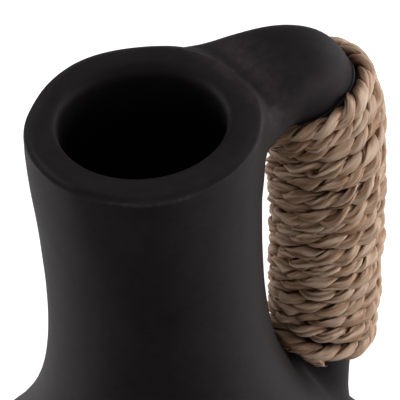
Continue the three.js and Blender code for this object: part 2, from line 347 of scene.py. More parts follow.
def outerSide(p):
    rim, belly = p["rimHeight"], p["bellyHeight"]
    waistHeight = rim - p["waistDepth"]
    shoulderHeight = rim - p["shoulderDepth"]
    neckTop = (p["neckTopRadius"], rim - p["neckTopDepth"])
    rise = shoulderHeight - belly
    flareRise = waistHeight - shoulderHeight
    neckRise = neckTop[1] - waistHeight
    slope = math.radians(p["shoulderAngle"])
    belt, waist = (p["bellyRadius"], belly), (p["waistRadius"], waistHeight)

    def onSlope(reach):
        return p["shoulderRadius"] + reach * math.sin(slope), shoulderHeight - reach * math.cos(slope)

    fall = belly - p["footRound"]
    depth = fall / math.sqrt(1 - (p["footRadius"] / p["bellyRadius"]) ** 2)
    footCentre = (p["footRadius"] - p["footRound"], p["footRound"])
    foot = arc(footCentre, (p["footRound"], p["footRound"]), -math.pi / 2, 0, 16)
    lower = arc((0, belly), (p["bellyRadius"], depth), -math.asin(fall / depth), 0, 160)
    shoulder = bezier(belt, (belt[0], belly + rise * 0.45), onSlope(rise * 0.38), onSlope(0), 120)
    flare = bezier(
        onSlope(0), onSlope(-flareRise * 0.45), (waist[0], waistHeight - flareRise * 0.46), waist, 160)
    neck = bezier(
        waist, (waist[0], waistHeight + neckRise * 0.6),
        (neckTop[0], neckTop[1] - neckRise * 0.45), neckTop, 80)
    return [foot, lower, shoulder, flare, neck]


def potOutline(p, isOpenTopped=False):
    # filled outside: from the middle of the foot, up the wall, over the lip to the axis
    rim, fall, roll = p["rimHeight"], p["lipFall"], p["lipRoll"]
    edge, ease = p["lipRadius"], p["lipRound"]
    slope = 2 * fall / roll
    recess = p["footRecess"]
    inside = p["footRadius"] - p["footRound"] - p["footRingWidth"]
    under = np.array([(0, recess), (inside - recess, recess), (inside, 0)], float)
    if isOpenTopped:
        over = rim + p["overRim"]
        return chained([under, *outerSide(p), [(p["neckTopRadius"], over), (0, over)]], 0.45)
    corner = bezier(
        (edge, rim - fall - ease), (edge, rim - fall - 0.4 * ease),
        (edge - 0.4 * ease, rim - fall + 0.4 * ease * slope), (edge - ease, rim - fall + ease * slope), 12)
    share = np.linspace(1 - ease / roll, 0, 24)
    rolled = np.stack([edge - roll + roll * share, rim - fall * share ** 2], axis=1)
    return chained([under, *outerSide(p), corner, rolled[1:], [(0, rim)]], 0.45)


def cavityOutline(p):
    side = chained(outerSide(p)[1:4], 0.7)
    way = unit(np.gradient(side, axis=0))
    inner = side + np.stack([-way[:, 1], way[:, 0]], axis=1) * p["wall"]
    floor, rim = p["floorThickness"], p["rimHeight"]
    inner = inner[inner[:, 1] > floor + p["wall"]]
    low, waist = inner[0], inner[-1]
    corner = bezier(
        (low[0] - p["floorCorner"], floor), (low[0] - 0.55 * p["floorCorner"], floor),
        (low[0] - 3, floor + 1.5), low, 40)
    mouth = p["lipRadius"] - p["lipWidth"]
    rise = rim - waist[1]
    throat = bezier(
        waist, (waist[0], waist[1] + rise * 0.4), (mouth, rim - rise * 0.4), (mouth, rim + 0.5), 60)
    above = rim + p["overRim"]
    return chained([[(0, floor)], corner, inner, throat, [(mouth, above), (0, above)]], 0.7)


class Track:
    # a line of short stretches, and which of its marks is nearest for each square millimetre of a grid
    def __init__(self, points, marks, low, high, spread):
        self.start, self.way = points[:-1], np.diff(points, axis=0)
        self.low, self.spread = low, spread
        grid = np.meshgrid(*[np.arange(*span) + 0.5 for span in zip(low, high)], indexing="ij")
        flat = np.stack([axis.ravel() for axis in grid], axis=1)
        self.near = np.concatenate([
            ((part[:, :1] - marks[:, 0]) ** 2 + (part[:, 1:] - marks[:, 1]) ** 2).argmin(1)
            for part in np.split(flat, range(4000, len(flat), 4000))
        ]).reshape(grid[0].shape)

    def closest(self, x, z):
        # squared gap to the line, place along it in stretches, and whether the point lies on its left
        i, k = (
            np.clip((value - low).astype(int), 0, size - 1)
            for value, low, size in zip((x, z), self.low, self.near.shape))
        guess = self.near[i, k]
        best, place = np.full(x.shape, np.inf), np.zeros(x.shape)
        isLeft = np.zeros(x.shape, bool)
        for offset in sorted(range(-self.spread, self.spread + 1), key=abs):
            here = np.clip(guess + offset, 0, len(self.start) - 1)
            dx, dz = x - self.start[here, 0], z - self.start[here, 1]
            wayX, wayZ = self.way[here, 0], self.way[here, 1]
            share = np.clip((dx * wayX + dz * wayZ) / (wayX ** 2 + wayZ ** 2), 0, 1)
            gap = (dx - share * wayX) ** 2 + (dz - share * wayZ) ** 2
            closer = gap < best - 1e-12
            best = np.where(closer, gap, best)
            place = np.where(closer, here + share, place)
            isLeft = np.where(closer, wayX * dz - wayZ * dx > 0, isLeft)
        return best, place, isLeft

    def signed(self, r, z):
        gap, _, isLeft = self.closest(r, z)
        return np.where(isLeft, -1.0, 1.0) * np.sqrt(gap)


def outlineTrack(points):
    # an outline from the axis to the axis, inside on its left
    return Track(points, points[:-1] + np.diff(points, axis=0) / 2, (0, -12), (136, 424), 5)


outside = outlineTrack(potOutline(pot))
tallNeck = outlineTrack(potOutline(pot, isOpenTopped=True))   # the neck carried on above the rim
hollow = outlineTrack(cavityOutline(pot))
print("outlines ready")


# centre line of the handle, and the clay round it

arm = {
    "rootReach": 20.0, "rootHeight": 368.0,
    "leadReach": 32.5, "leadHeight": 371.75,
    "crestReach": 50.0, "crestHeight": 375.5, "crestLead": 14.0,
    "bendEase": 0.6,
    "windingLead": 33.0,         # from the crest to the first turn of the cord
    "gripReach": 83.85, "gripHeight": 324.0,
    "endReach": 72.05,
    "footThickness": 29.5, "footBurial": 12.0,
    "gripTop": 36.5, "gripEnd": 28.5,
    "footFlare": 5.0, "footFlareLength": 34.0,
    "footFuller": 1.0, "footFullerSpan": (52, 26),
    # the clay and its fillets keep under a cap over the root, which lifts off further out
    "capClearance": 0.8, "capBelowLip": 1.6, "capLift": 16, "capLiftSpan": (46, 74),
    # distance beyond the neck, top, bottom, half width, sideways shift, squareness
    "stations": [
        (-60, 2.0, 21.0, 26.3, 6.6, 3.3),
        (0, 2.0, 21.0, 26.3, 6.6, 3.3),
        (5, 4.4, 20.2, 25.0, 5.3, 3.0),
        (10, 8.6, 19.8, 23.2, 3.5, 2.7),
        (16, 13.6, 19.5, 21.3, 1.8, 2.4),
        (22, 18.3, 19.4, 20.3, 0.7, 2.2),
        (28, 20.5, 19.2, 19.9, 0.1, 2.05),
        (33, 19.1, 18.8, 18.9, 0.0, 2.0),
    ],
}


def smooth(x, low, high):
    t = np.clip((x - low) / (high - low), 0, 1)
    return t * t * (3 - 2 * t)


def heightOfRadius(radius):
    side = np.concatenate(outerSide(pot))
    for low, high in zip(side[-2::-1], side[:0:-1]):
        if low[0] >= radius > high[0]:
            return high[1] + (low[1] - high[1]) * (radius - high[0]) / (low[0] - high[0])
    return pot["bellyHeight"]


class Limb:
    # the handle's centre line in the plane of the axis and +X, and its sizes by distance along it
    def __init__(self, s):
        endHeight = heightOfRadius(s["endReach"] + s["footThickness"] / 2 + s["footBurial"])
        fall = s["gripHeight"] - endHeight
        inset = s["gripReach"] - s["endReach"]
        crest, grip = (s["crestReach"], s["crestHeight"]), (s["gripReach"], s["gripHeight"])
        arch = bezier(
            (s["rootReach"], s["rootHeight"]), (s["leadReach"], s["leadHeight"]),
            (crest[0] - s["crestLead"], crest[1]), crest, 300)
        bend = bezier(
            crest, (crest[0] + (grip[0] - crest[0]) * s["bendEase"], crest[1]),
            (grip[0], grip[1] + (crest[1] - grip[1]) * s["bendEase"]), grip, 400)
        down = bezier(
            grip, (grip[0], grip[1] - fall / 3), (s["endReach"] + inset / 2, endHeight + fall / 3),
            (s["endReach"], endHeight), 500)
        self.crestAt = stepLengths(arch).sum()
        line = chained([arch, bend, down], 0.45)
        self.points = line
        self.length = stepLengths(line).sum()
        self.at = np.linspace(0, self.length, len(line))
        self.spacing = self.length / (len(line) - 1)
        self.track = Track(line, line, (0, 135), (125, 425), 3)
        padded = np.pad(np.gradient(line, axis=0), ((3, 3), (0, 0)), mode="edge")
        way = unit(np.stack([np.convolve(padded[:, i], np.ones(7) / 7, "valid") for i in (0, 1)], axis=1))
        self.out = np.stack([-way[:, 1], way[:, 0]], axis=1)
        self.turned = -np.unwrap(np.arctan2(way[:, 1], way[:, 0]))
        self.curve = np.gradient(self.turned, self.at)
        self.windingStart = self.crestAt + s["windingLead"]
        self.setSizes(s, self.at)

    def setSizes(self, s, d):
        top, bottom, half, self.sway, self.power = self.rootSizes(s, d)
        flareStart = self.length - s["footFlareLength"]
        slim = np.clip((d - self.windingStart) / (flareStart - self.windingStart), 0, 1)
        change = (s["gripEnd"] - s["gripTop"]) / 2 * slim
        swell = (s["footThickness"] - s["gripEnd"]) / 2 * smooth(d, flareStart, self.length + 1)
        contact = self.length - s["footBurial"]
        flare = s["footFlare"] * smooth(d, contact - s["footFlareLength"], contact)
        fuller = s["footFuller"] * smooth(d, *(self.length - n for n in s["footFullerSpan"]))
        self.top = top + change + swell + fuller
        self.bottom = bottom + change + swell + flare
        self.half = half + change + swell + flare / 2 + fuller
        self.thickness = s["gripTop"] + 2 * change + 2 * swell   # plain clay, which the winding follows
        high = d < self.windingStart
        over = self.points[high] + self.out[high] * self.top[high, None]
        self.capReach = np.concatenate([[0, self.points[0, 0]], over[:, 0]])
        self.capHeight = np.maximum(
            np.concatenate([[0, 0], over[:, 1] + s["capClearance"]]),
            pot["rimHeight"] - pot["lipFall"] - s["capBelowLip"])

    def rootSizes(self, s, d):
        # top and bottom of the clay above and below the line, half width, sideways shift and squareness
        neckExit = d[np.argmin(np.abs(self.points[d < self.crestAt, 0] - pot["neckTopRadius"]))]
        last = [self.windingStart - neckExit, *[s["gripTop"] / 2] * 3, 0, 2]
        stations = np.array([*s["stations"], last, [last[0] + 400] + last[1:]], float)
        return [softened(np.interp(d - neckExit, stations[:, 0], stations[:, n]), 11) for n in range(1, 6)]

    def field(self, x, y, z):
        # rough signed distance to the clay of the handle
        last = len(self.points) - 2
        _, place, _ = self.track.closest(x, z)

        def at(values):
            return values[low] * (1 - part) + values[low + 1] * part

        for _ in range(3):
            # the foot of the perpendicular, made smooth between the line's points
            low = np.clip(place.astype(int), 0, last)
            part = place - low
            outX, outZ = at(self.out[:, 0]), at(self.out[:, 1])
            dx, dz = x - at(self.points[:, 0]), z - at(self.points[:, 1])
            across = dx * outX + dz * outZ
            along = dx * outZ - dz * outX
            bent = np.maximum(1 + at(self.curve) * across, 0.3)
            place = np.clip(place + along / (self.spacing * bent), 0, last + 0.999)
        top, bottom, half, power = at(self.top), at(self.bottom), at(self.half), at(self.power)
        high = (top + bottom) / 2
        u = np.abs(across - (top - bottom) / 2) / high
        v = np.abs(y - at(self.sway)) / half
        level = np.maximum((u ** power + v ** power) ** (1 / power), 1e-6)
        steep = np.hypot((u / level) ** (power - 1) / high, (v / level) ** (power - 1) / half)
        shell = (level - 1) / np.maximum(steep, 0.5 / np.maximum(high, half))
        return np.maximum(shell, np.abs(along) - 0.5)

    def cap(self, x):
        return np.interp(x, self.capReach, self.capHeight) + smooth(x, *arm["capLiftSpan"]) * arm["capLift"]


limb = Limb(arm)
print(f"handle line {limb.length:.1f} mm, winding from {limb.windingStart:.1f} mm")


# the clay as one fired piece: pot and handle run into each other in soft fillets

clay = {
    "around": 360,               # cells round the axis
    # cells outwards and upwards: where they start, then ends and sizes
    "cellsOut": [0.0, (24, 4), (30, 1.0), (34, 0.4), (42, 1.0), (47, 0.5), (112, 1.5), (128, 1.3)],
    "cellsUp": [-3.0, (4, 0.7), (24, 1.8), (150, 2.6), (350, 1.8), (373, 1.3), (382, 0.35), (399, 1.1)],
    "rootBlend": 12.0,           # reach of the fillets beside and under the root
    "gripBlend": 3.0,
    "footBlend": 11.0,
    "capRound": 4.0,
    "ridgeBlend": 3.4,
    "handUneven": 0.28,
    # how much wider than round the lip is, by degrees round it from the handle
    "lipFit": [
        (-180, 0.2), (-165, 0.5), (-152, 0.9), (-142, -0.4), (-129, -0.5), (-119, 0.5), (-108, 0.5),
        (-90, -0.5), (-75, -0.2), (-60, 0.1), (-29, 0.0),
        (0, 0.5), (20, 1.1), (35, 1.5), (46, 1.5), (54, 0.95), (63, 0.6), (75, 0.75),
        (90, 1.0), (105, 0.5), (120, -0.35), (132, -0.75), (145, -0.3), (160, 0.1),
    ],
    "lipSmoothing": 25,          # half degrees
    "farSide": 61,               # degrees round the mouth to its far side, which is rounder and has more painted shade inside
    "burr": 0.45,                # a rough seam on the near edge of the lip
    "burrSpan": (-142, -90),
    "ridge": 0.80,               # clay smeared up where the handle meets the lip
    "ridgeSpan": (-62, 56),
    "ridgePath": [
        (-62, 0.6), (-30, 0.0), (-18, -0.9), (-8, -1.6), (4, -4.2), (18, -3.4), (34, -4.0), (56, -3.0)],
    "ridgeWidth": 2.0,
    # a hollow just inside the lip's edge, with painted shade in it, by degrees round it
    "dipFit": [
        (-205, 0), (-180, 0.6), (-152, 1.0), (-129, 0.9), (-117, 0.2), (-108, 0.8), (-97, 0.3), (-85, 0.8),
        (-70, 0.3), (-60, 0)],
    "dipDepth": 0.45,
    # how far the burr, the ridge, the edges of lip and mouth and the root are painted pale: wear and painted
    # highlight on the burr and the lip's edge, painted highlight on the ridge, the mouth's edge and the root
    "burrWearAndHighlight": 1.8, "ridgeHighlight": 0.90, "edgeWearAndHighlight": 0.4, "mouthHighlight": 0.35, "rootHighlight": 0.85,
    "rootHighlightSpan": (34, 62),
    # how much painted shade darkens the hollow
    "dipShade": 0.8,
}


def blendReach(z):
    reach = clay["gripBlend"] + (clay["rootBlend"] - clay["gripBlend"]) * smooth(z, 346, 368)
    return reach + (clay["footBlend"] - clay["gripBlend"]) * (1 - smooth(z, 205, 232))


def softMin(a, b, reach):
    h = np.clip(0.5 + 0.5 * (b - a) / reach, 0, 1)
    return b + (a - b) * h - reach * h * (1 - h)


def softMax(a, b, reach):
    return -softMin(-a, -b, reach)


def farShare(angle):
    return (1 + np.cos(angle - math.radians(clay["farSide"]))) / 2


def mouthReach(angle):
    return pot["mouthBlend"] + pot["mouthFar"] * farShare(angle)


def joinClay(pottery, tall, limbField, cavity, x, z, mouth):
    # the root runs into the neck under the cap, which leaves the lip's edge standing as a soft ridge
    joined = softMin(tall, limbField, blendReach(z))
    joined = softMax(joined, z - limb.cap(x), clay["capRound"])
    near = 1 - smooth(limbField, 4, 14)
    whole = softMin(pottery, joined, 0.01 + clay["ridgeBlend"] * near)
    return softMax(whole, -cavity, mouth)


waves = np.random.default_rng(11)
handWaves = [
    (waves.normal(size=3) * 0.17, waves.uniform(0, 2 * math.pi)) for _ in range(7)
]


lipDegrees = np.arange(-180, 180, 0.5)
lipSpread = softened(np.interp(lipDegrees, *zip(*clay["lipFit"]), period=360), clay["lipSmoothing"], "wrap")


def lipWidening(angle):
    return np.interp(np.degrees(angle), lipDegrees, lipSpread, period=360)


def within(value, span, fade):
    return smooth(value, span[0], span[0] + fade) * (1 - smooth(value, span[1] - fade, span[1]))


def raisedEdges(angle, r, z):
    # share, nought to one, of the burr, the ridge and the plain edge at a point of the lip
    edge = pot["lipRadius"] + lipWidening(angle)
    rim = pot["rimHeight"]
    degrees = np.degrees(angle)
    broken = 0.62 + 0.22 * np.sin(angle * 47) + 0.16 * np.sin(angle * 101 + 1)
    plain = np.exp(-((r - edge) / 0.7) ** 2 - ((z - rim + pot["lipFall"] + 0.3) / 0.7) ** 2)
    burr = within(degrees, clay["burrSpan"], 12) * broken * plain
    path = edge + np.interp(degrees, *zip(*clay["ridgePath"]))
    ridge = within(degrees, clay["ridgeSpan"], 30) * np.exp(-((r - path) / clay["ridgeWidth"]) ** 2)
    return burr, ridge * smooth(z, rim - 6, rim - 2.5), plain


def lipDip(angle, r, z):
    degrees = (np.degrees(angle) + 250) % 360 - 250
    edge = pot["lipRadius"] + lipWidening(angle)
    high = smooth(z, pot["rimHeight"] - 5, pot["rimHeight"] - 2.5)
    return np.interp(degrees, *zip(*clay["dipFit"])) * np.exp(-((r - edge + 1.7) / 1.1) ** 2) * high


def unevenness(x, y, z):
    # low waves left by the hand, strongest round the handle's root, and a lip not quite round
    angle, r = np.arctan2(y, x), np.hypot(x, y)
    burr, ridge, _ = raisedEdges(angle, r, z)
    ripple = sum(np.sin(x * w[0] + y * w[1] + z * w[2] + phase) for w, phase in handWaves) / len(handWaves)
    nearRoot = np.exp(-((x - 58) ** 2 + y ** 2 + (z - 380) ** 2) / 34 ** 2)
    return (
        ripple * clay["handUneven"] * (0.35 + 1.6 * nearRoot)
        + lipWidening(angle) * smooth(z, 332, 376) * smooth(r, 37, 43)
        + burr * clay["burr"] + ridge * clay["ridge"] - lipDip(angle, r, z) * clay["dipDepth"]
    )


def wearAndPaintedLightShare(points):
    # where the black clay is painted paler, for wear and for painted highlights on its edges, its ridge and the
    # handle's root, and under nought for painted shade inside the mouth and in the hollow under the lip's edge
    x, y, z = points.T
    angle, r = np.arctan2(y, x), np.hypot(x, y)
    rim = pot["rimHeight"]
    burr, ridge, plain = raisedEdges(angle, r, z)
    patchy = 0.5 + 0.3 * np.sin(angle * 7 + 2) * np.sin(angle * 19) + 0.2 * np.sin(angle * 43 + 1)
    mouth = pot["lipRadius"] - pot["lipWidth"] + 1.1
    # painted highlight along the mouth's inner edge
    inner = np.exp(-((r - mouth) / 0.8) ** 2) * smooth(z, rim - 2.5, rim - 0.6)
    inner = inner * within(np.degrees(angle), (-175, -20), 50)
    # painted highlight over the top of the handle's root
    root = within(x, clay["rootHighlightSpan"], 14) * smooth(z, 352, 372)
    paintedLight = (
        clay["burrWearAndHighlight"] * burr + clay["ridgeHighlight"] * ridge + clay["edgeWearAndHighlight"] * patchy * plain
        + clay["mouthHighlight"] * patchy * inner + clay["rootHighlight"] * root)
    # painted shade down the inside of the mouth, reaching further out at the far side
    throat = (1 - smooth(r, mouth - 0.6, mouth + 1.2 + 4.2 * farShare(angle))) * smooth(z, 30, 60)
    return np.clip(paintedLight, 0, 1.8) * (1 - throat) - throat - clay["dipShade"] * lipDip(angle, r, z)


def clayField(points):
    x, y, z = points.T
    r = np.hypot(x, y)
    pottery = outside.signed(r, z)
    cavity = hollow.signed(r, z)
    mouth = mouthReach(np.arctan2(y, x))
    value = softMax(pottery, -cavity, mouth)
    close = (x > 0) & (x < 124) & (np.abs(y) < 60) & (z > 136) & (z < 422)
    cx, cz = x[close], z[close]
    tall, limbField = tallNeck.signed(r[close], cz), limb.field(cx, y[close], cz)
    value[close] = joinClay(pottery[close], tall, limbField, cavity[close], cx, cz, mouth[close])
    return value - unevenness(x, y, z)


def graded(stops):
    # node positions from (end, step) pairs, starting at the first stop's position
    values = [stops[0]]
    for end, step in stops[1:]:
        count = max(1, int(round((end - values[-1]) / step)))
        values.extend(np.linspace(values[-1], end, count + 1)[1:])
    return np.array(values)


def clayGrid():
    r, z = graded(clay["cellsOut"]), graded(clay["cellsUp"])
    around = clay["around"]
    gridR, gridZ = np.meshgrid(r, z, indexing="ij")
    pottery, cavity, tall = (track.signed(gridR, gridZ) for track in (outside, hollow, tallNeck))
    values = np.empty((around, len(r), len(z)), np.float32)
    for i, angle in enumerate(2 * math.pi * np.arange(around) / around):
        mouth = mouthReach(angle)
        values[i] = softMax(pottery, -cavity, mouth)
        x, y = gridR * math.cos(angle), gridR * math.sin(angle)
        close = (x > 8) & (x < 124) & (np.abs(y) < 48) & (gridZ > 136)
        if close.any():
            cx, cz = x[close], gridZ[close]
            limbField = limb.field(cx, y[close], cz)
            values[i][close] = joinClay(pottery[close], tall[close], limbField, cavity[close], cx, cz, mouth)
    return r, z, values


def wrappedNet(r, z, values):
    # surface net on a grid that is wrapped round the axis
    inside = values < 0
    around, countR, countZ = values.shape
    total = sum(
        turned[:, j:countR - 1 + j, k:countZ - 1 + k].astype(np.int8)
        for turned in (inside, np.roll(inside, -1, axis=0)) for j in (0, 1) for k in (0, 1))
    active = (total > 0) & (total < 8)
    index = -np.ones(active.shape, np.int64)
    index[active] = np.arange(active.sum())
    ci, cj, ck = np.nonzero(active)
    summed, count = np.zeros((len(ci), 3)), np.zeros(len(ci))
    faces = []
    for axis in range(3):
        u, v = (n for n in range(3) if n != axis)
        # one point in each cell, at the mean of where its edges are cut
        for pair in ((0, 0), (0, 1), (1, 0), (1, 1)):
            base, ahead = [0, 0, 0], [1, 1, 1]
            base[u], base[v] = ahead[u], ahead[v] = pair
            a, b = (values[(ci + c[0]) % around, cj + c[1], ck + c[2]] for c in (base, ahead))
            crossed = (a < 0) != (b < 0)
            base[axis] = np.where(crossed, a / np.where(crossed, a - b, 1), 0)
            place = np.stack([
                (ci + base[0]) * (2 * math.pi / around),
                r[cj] + base[1] * (r[cj + 1] - r[cj]),
                z[ck] + base[2] * (z[ck + 1] - z[ck]),
            ], axis=1)
            summed[crossed] += place[crossed]
            count[crossed] += 1
        # and a face across each cut edge, between the four cells round it
        cut = inside != np.roll(inside, -1, axis=axis)
        cut[:, -1] = cut[:, :, -1] = False
        if axis != 1:
            cut[:, 0] = False
        if axis != 2:
            cut[:, :, 0] = False
        edge = np.nonzero(cut)
        four = []
        for pair in ((-1, -1), (0, -1), (0, 0), (-1, 0)):
            cell = list(edge)
            cell[u], cell[v] = cell[u] + pair[0], cell[v] + pair[1]
            four.append(index[cell[0] % around, cell[1], cell[2]])
        four = np.stack(four, axis=1)
        flip = inside[edge] != (axis == 1)
        four[flip] = four[flip][:, ::-1]
        faces.append(four)
    turn, radius, height = (summed / count[:, None]).T
    points = np.stack([radius * np.cos(turn), radius * np.sin(turn), height], axis=1)
    fans = []
    for k in np.nonzero(inside[0, 0, :-1] != inside[0, 0, 1:])[0]:
        # where the surface crosses the axis, the cells round it meet in a point on it
        a, b = values[0, 0, k], values[0, 0, k + 1]
        ring = index[:, 0, k]
        fan = np.stack([np.full(around, len(points)), ring, np.roll(ring, -1)], axis=1)
        fans.append(fan[:, ::-1] if inside[0, 0, k + 1] else fan)
        points = np.concatenate([points, [(0, 0, z[k] + a / (a - b) * (z[k + 1] - z[k]))]])
    return points, [np.concatenate(faces), np.concatenate(fans)]


def claySlope(points, step):
    result = np.empty_like(points)
    for axis in range(3):
        offset = np.zeros(3)
        offset[axis] = step
        result[:, axis] = (clayField(points + offset) - clayField(points - offset)) / (2 * step)
    return result


def settled(points, passes=3):
    # moved onto the surface, with its normals
    for _ in range(passes):
        slope = claySlope(points, 0.06)
        strength = np.maximum((slope ** 2).sum(1), 0.05)
        move = slope * (clayField(points) / strength)[:, None]
        length = np.linalg.norm(move, axis=1)
        points = points - move * np.minimum(1, 1.2 / np.maximum(length, 1e-9))[:, None]
    return points, unit(claySlope(points, 0.15))


def volumeOf(points, faces):
    total = 0.0
    for part in faces:
        for n in range(1, part.shape[1] - 1):
            a, b, c = points[part[:, 0]], points[part[:, n]], points[part[:, n + 1]]
            total += np.einsum("ij,ij->i", a, np.cross(b, c)).sum() / 6
    return total


def facingOut(points, faces):
    return [part[:, ::-1] for part in faces] if volumeOf(points, faces) < 0 else faces


def ringQuads(rows, sides, isClosed=False):
    # faces between neighbouring rings of points
    row = np.arange(rows if isClosed else rows - 1)[:, None]
    side = np.arange(sides)[None, :]
    nextRow, nextSide = (row + 1) % rows, (side + 1) % sides
    return np.stack([
        row * sides + side, row * sides + nextSide, nextRow * sides + nextSide, nextRow * sides + side,
    ], axis=-1).reshape(-1, 4)


def meshObject(name, points, faces, material):
    # points in millimetres; faces is a list of index arrays, each with one count of corners
    faces = facingOut(points, faces)
    mesh = bpy.data.meshes.new(name)
    sizes = np.concatenate([np.full(len(part), part.shape[1]) for part in faces])
    loops = np.concatenate([part.ravel() for part in faces])
    mesh.vertices.add(len(points))
    mesh.vertices.foreach_set("co", (points * millimetre).astype(np.float32).ravel())
    mesh.loops.add(len(loops))
    mesh.loops.foreach_set("vertex_index", loops.astype(np.int32))
    mesh.polygons.add(len(sizes))
    starts = np.concatenate([[0], np.cumsum(sizes)[:-1]])
    mesh.polygons.foreach_set("loop_start", starts.astype(np.int32))
    mesh.update(calc_edges=True)
    mesh.validate()
    mesh.polygons.foreach_set("use_smooth", np.ones(len(mesh.polygons), bool))
    mesh.update()
    mesh.materials.append(material)
    made = bpy.data.objects.new(name, mesh)
    bpy.context.scene.collection.objects.link(made)
    return made


def addLayer(made, name, values):
    # values that the material reads, at each point
    isVector = values.ndim == 2
    layer = made.data.attributes.new(name, "FLOAT_VECTOR" if isVector else "FLOAT", "POINT")
    layer.data.foreach_set("vector" if isVector else "value", values.astype(np.float32).ravel())


# small pale nicks and dark pits: place in millimetres, size, and how pale
nicks = [
    ((-32.3, -29.6, 298.2), 0.55, 0.25),
    ((-14.1, 31.2, 379.6), 0.9, 1.9),
    ((-34.6, 20.7, 379.6), 0.7, 1.7),
    ((-42.9, 8.5, 378.8), 1.1, 1.8),
    ((3.0, 32.6, 341.8), 0.8, 3.0),
    ((-41.5, 16.5, 378.9), 0.5, 1.7),
    ((-9.0, -45.2, 377.9), 1.3, 1.8),
    ((-17.5, -42.2, 377.9), 1.0, 1.6),
    ((12.5, -43.6, 352.0), 0.4, 0.4),
    ((-39.5, -22.0, 318.0), 0.4, 0.4),
]


def clayMaterial():
    material, shader, surface = newMaterial("blackClay")
    place = shader.add("TexCoord").outputs["Object"]

    def times(first, second):
        return shader.math("MULTIPLY", first, second)

    cloud = shader.noise(place, 26.0, 6.0, 0.6)
    tint = shader.ramp(cloud, [
        (0.34, (0.0108, 0.0092, 0.0099)), (0.50, (0.0139, 0.0119, 0.0126)), (0.66, (0.0172, 0.0148, 0.0155))])
    # fine mottling, and the streaks of a cloth or sandpaper drawn aslant
    mottle = shader.ranged(shader.noise(place, 210.0, 5.0, 0.65), 0.80, 1.20, 0.3, 0.7)
    aslant = shader.add("Mapping", {
        "Vector": place, "Rotation": (0.25, -0.75, -0.5), "Scale": (45.0, 900.0, 900.0)})
    streak = shader.noise(aslant.outputs[0], 1.0, 3.0, 0.6)
    factor = times(mottle, shader.ranged(streak, 0.88, 1.12, 0.3, 0.7))
    # nicks with ragged edges
    ragged = shader.noise(place, 900.0, 2.0, 0.5, "Color")
    shift = shader.vectorMath("SCALE", {0: ragged, "Scale": 0.0012})
    moved = shader.vectorMath("ADD", {0: place, 1: shift})
    for centre, size, pale in nicks:
        middle = [c * millimetre + 0.0006 for c in centre]
        gap = shader.vectorMath("DISTANCE", {0: moved, 1: middle}, "Value")
        factor = times(factor, shader.ranged(gap, pale, 1.0, 0.25 * size * millimetre, size * millimetre))
    # painted paler over nought, for wear and painted highlight, and painted shade under it
    wearAndPaintedLight = shader.add("Attribute", attribute_name="wearAndPaintedLight").outputs["Fac"]
    paintedLight = times(wearAndPaintedLight, shader.ranged(shader.noise(place, 320.0, 4.0, 0.7), 0.4, 1.3, 0.35, 0.65))
    factor = times(factor, shader.ranged(paintedLight, 1.0, 2.6))
    factor = times(factor, shader.ranged(wearAndPaintedLight, 0.45, 1.0, -1.0, 0.0))
    grain = shader.bump(shader.noise(place, 900.0, 4.0, 0.7), 0.14, 0.0004)
    shader.feed(surface, {
        "Base Color": shader.vectorMath("SCALE", {0: tint, "Scale": factor}),
        "Roughness": shader.ranged(cloud, 0.52, 0.72),
        "Specular IOR Level": 0.18,
        "Specular Tint": (1.0, 0.86, 0.91, 1),
        "Normal": shader.bump(streak, 0.10, 0.0003, grain),
    })
    return material


def makeClay():
    r, z, values = clayGrid()
    print("clay grid", values.shape)
    points, faces = wrappedNet(r, z, values)
    points, normals = settled(points)
    print(f"clay: {len(points)} points, volume {abs(volumeOf(points, faces)) / 1e6:.3f} litres")
    made = meshObject("clay_pot", points, faces, clayMaterial())
    made.data.normals_split_custom_set_from_vertices(normals.astype(np.float32).tolist())
    addLayer(made, "wearAndPaintedLight", wearAndPaintedLightShare(points))
    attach(made, "root")
    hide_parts("vase_body", "handle")


makeClay()
print("clay made")


# the binding: cord wound over tape, turn for turn as on the solids, and set closer to the photograph

binding = {
    "cordDiameter": 6.7,
    "pitch": 7.45,
    "thickness": 7.9,            # tape, cord and their gaps, over the clay
    "startAngle": 250.0,
    "endAngle": 128.0,
    "fullTurns": 17,
    "fanTurns": 9.0,
    "startLean": 5.0,
    "outerSlack": 0.5,
    "earlyStart": 2.2,           # the first turns are pushed up, most on the inner side
    "highStart": 4.5,
    "lowEnd": 4.6,               # and the last one sags before its end
    # how much further out the turns lie on the outer side, by distance down the winding
    "outerFit": [(0, -0.2), (9, -0.9), (20, -1.6), (65, -1.5), (82, -0.3), (100, 0.1), (112, 1.1), (130, 1.4)],
}


turns = binding["fullTurns"] + (binding["startAngle"] - binding["endAngle"]) / 360


def outerShare(angle):
    # one on the outer side of the handle, nought on the side towards the neck
    return (1 + np.cos(angle)) / 2


def windingRadius(distance, angle):
    clayThickness = np.interp(distance, limb.at, limb.thickness)
    fit = np.interp(distance - limb.windingStart, *zip(*binding["outerFit"])) * outerShare(angle)
    return clayThickness / 2 + binding["thickness"] - binding["cordDiameter"] / 2 + fit


def bendAt(distance):
    return np.interp(distance, limb.at, limb.turned) - np.interp(limb.windingStart, limb.at, limb.turned)


waistAt = limb.at[np.argmin(np.abs(limb.points[:, 1] - (pot["rimHeight"] - pot["waistDepth"])))]
wholeBend = bendAt(waistAt)


